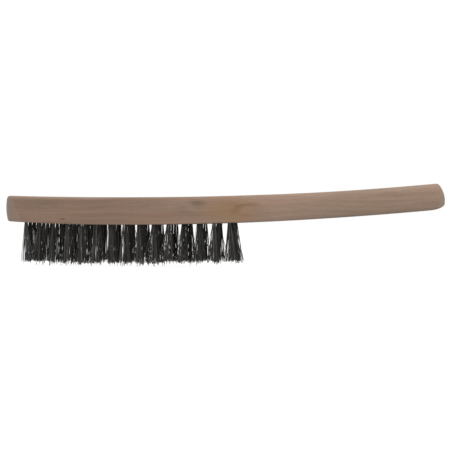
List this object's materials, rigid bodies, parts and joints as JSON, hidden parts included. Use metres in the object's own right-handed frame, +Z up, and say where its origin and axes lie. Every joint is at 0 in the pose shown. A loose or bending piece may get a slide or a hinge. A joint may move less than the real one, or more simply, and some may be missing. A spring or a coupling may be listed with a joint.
{
  "type": "wire brush",
  "caption": "Hand wire brush: a gently curved wooden block with head and handle in one piece, and rows of stiff steel wire tufts set in its sole, for scrubbing rust and welding slag off metal.",
  "frame": {"origin": "centre of the bounding box's base: on the plane of the wire tips, midway between the nose and the end of the handle and midway across the brush", "axes": "+X from the nose to the end of the handle, +Y across the brush, +Z up, from the wire tips to the back of the block"},
  "size_m": [0.29, 0.028, 0.0516],
  "materials": {
    "beech_wood": "sanded and unlacquered, matt",
    "steel_wire": "dark, oiled drawn wire"
  },
  "bodies": {
    "root": {"handle_block": "beech_wood", "wire_tuft_r1_c01": "steel_wire", "wire_tuft_r2_c01": "steel_wire", "wire_tuft_r3_c01": "steel_wire", "wire_tuft_r4_c01": "steel_wire", "wire_tuft_r1_c02": "steel_wire", "wire_tuft_r2_c02": "steel_wire", "wire_tuft_r3_c02": "steel_wire", "wire_tuft_r4_c02": "steel_wire", "wire_tuft_r1_c03": "steel_wire", "wire_tuft_r2_c03": "steel_wire", "wire_tuft_r3_c03": "steel_wire", "wire_tuft_r4_c03": "steel_wire", "wire_tuft_r1_c04": "steel_wire", "wire_tuft_r2_c04": "steel_wire", "wire_tuft_r3_c04": "steel_wire", "wire_tuft_r4_c04": "steel_wire", "wire_tuft_r1_c05": "steel_wire", "wire_tuft_r2_c05": "steel_wire", "wire_tuft_r3_c05": "steel_wire", "wire_tuft_r4_c05": "steel_wire", "wire_tuft_r1_c06": "steel_wire", "wire_tuft_r2_c06": "steel_wire", "wire_tuft_r3_c06": "steel_wire", "wire_tuft_r4_c06": "steel_wire", "wire_tuft_r1_c07": "steel_wire", "wire_tuft_r2_c07": "steel_wire", "wire_tuft_r3_c07": "steel_wire", "wire_tuft_r4_c07": "steel_wire", "wire_tuft_r1_c08": "steel_wire", "wire_tuft_r2_c08": "steel_wire", "wire_tuft_r3_c08": "steel_wire", "wire_tuft_r4_c08": "steel_wire", "wire_tuft_r1_c09": "steel_wire", "wire_tuft_r2_c09": "steel_wire", "wire_tuft_r3_c09": "steel_wire", "wire_tuft_r4_c09": "steel_wire", "wire_tuft_r1_c10": "steel_wire", "wire_tuft_r2_c10": "steel_wire", "wire_tuft_r3_c10": "steel_wire", "wire_tuft_r4_c10": "steel_wire", "wire_tuft_r1_c11": "steel_wire", "wire_tuft_r2_c11": "steel_wire", "wire_tuft_r3_c11": "steel_wire", "wire_tuft_r4_c11": "steel_wire", "wire_tuft_r1_c12": "steel_wire", "wire_tuft_r2_c12": "steel_wire", "wire_tuft_r3_c12": "steel_wire", "wire_tuft_r4_c12": "steel_wire", "wire_tuft_r1_c13": "steel_wire", "wire_tuft_r2_c13": "steel_wire", "wire_tuft_r3_c13": "steel_wire", "wire_tuft_r4_c13": "steel_wire", "wire_tuft_r1_c14": "steel_wire", "wire_tuft_r2_c14": "steel_wire", "wire_tuft_r3_c14": "steel_wire", "wire_tuft_r4_c14": "steel_wire", "wire_tuft_r1_c15": "steel_wire", "wire_tuft_r4_c15": "steel_wire", "wire_tuft_pair_r2_r3_c15": "steel_wire"}
  },
  "joints": []
}
